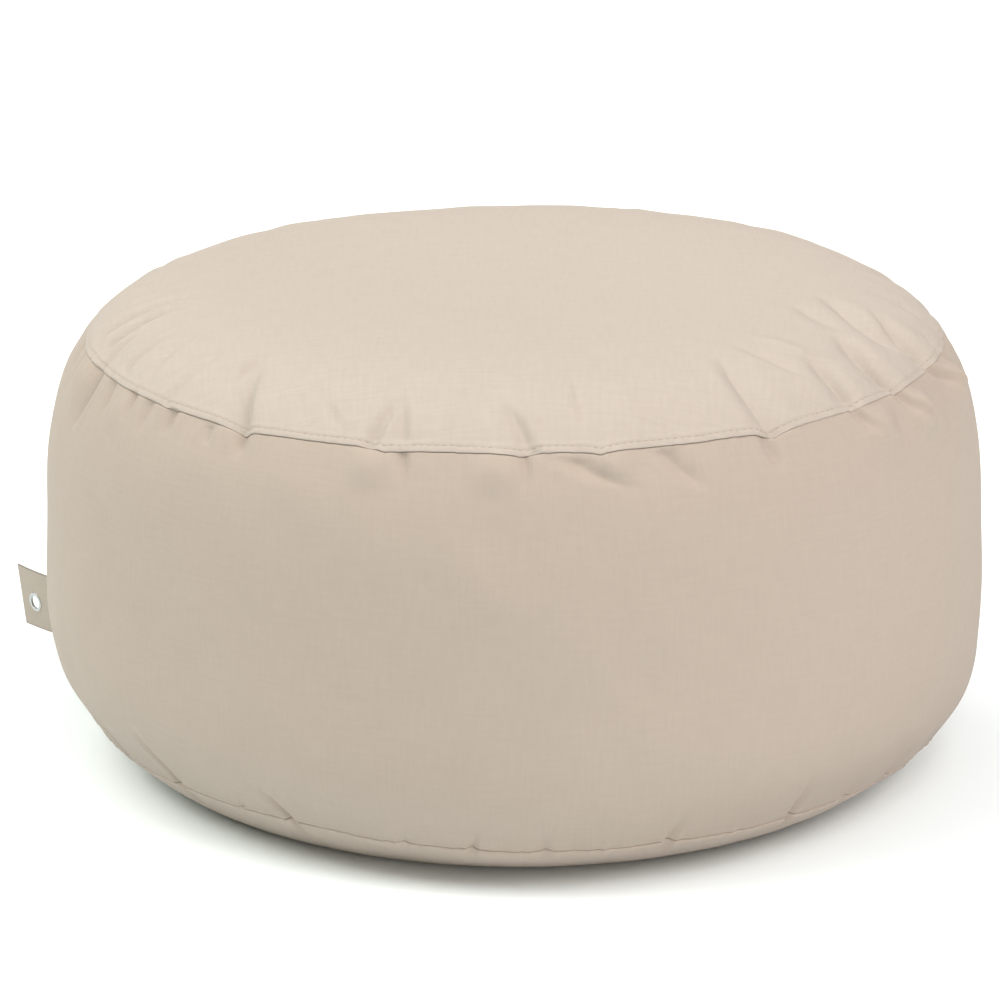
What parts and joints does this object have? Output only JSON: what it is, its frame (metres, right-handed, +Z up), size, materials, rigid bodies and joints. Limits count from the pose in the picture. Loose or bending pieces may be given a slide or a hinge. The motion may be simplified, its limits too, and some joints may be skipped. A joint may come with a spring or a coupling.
{
  "type": "bean bag footstool",
  "caption": "Low round bean bag footstool: crowned top panel, gathered side band, base panel with a flat rest, and a folded side tab with a metal eyelet.",
  "frame": {"origin": "centre of the flat spot on the base panel that the footstool rests on", "axes": "+Z up; -Y is the front, the side that the picture shows; the tab is sewn near -X"},
  "size_m": [0.9398, 0.9008, 0.4624],
  "materials": {
    "top_cloth": "matte plain-weave canvas, pale beige",
    "band_cloth": "matte plain-weave canvas, pale beige",
    "base_cloth": "matte plain-weave canvas, pale beige",
    "tab_cloth": "matte plain-weave canvas, pale beige, folded double",
    "eyelet_metal": "polished plated metal"
  },
  "bodies": {
    "root": {"top_panel": "top_cloth", "side_band": "band_cloth", "base_panel": "base_cloth", "tab": "tab_cloth", "eyelet": "eyelet_metal"}
  },
  "joints": []
}
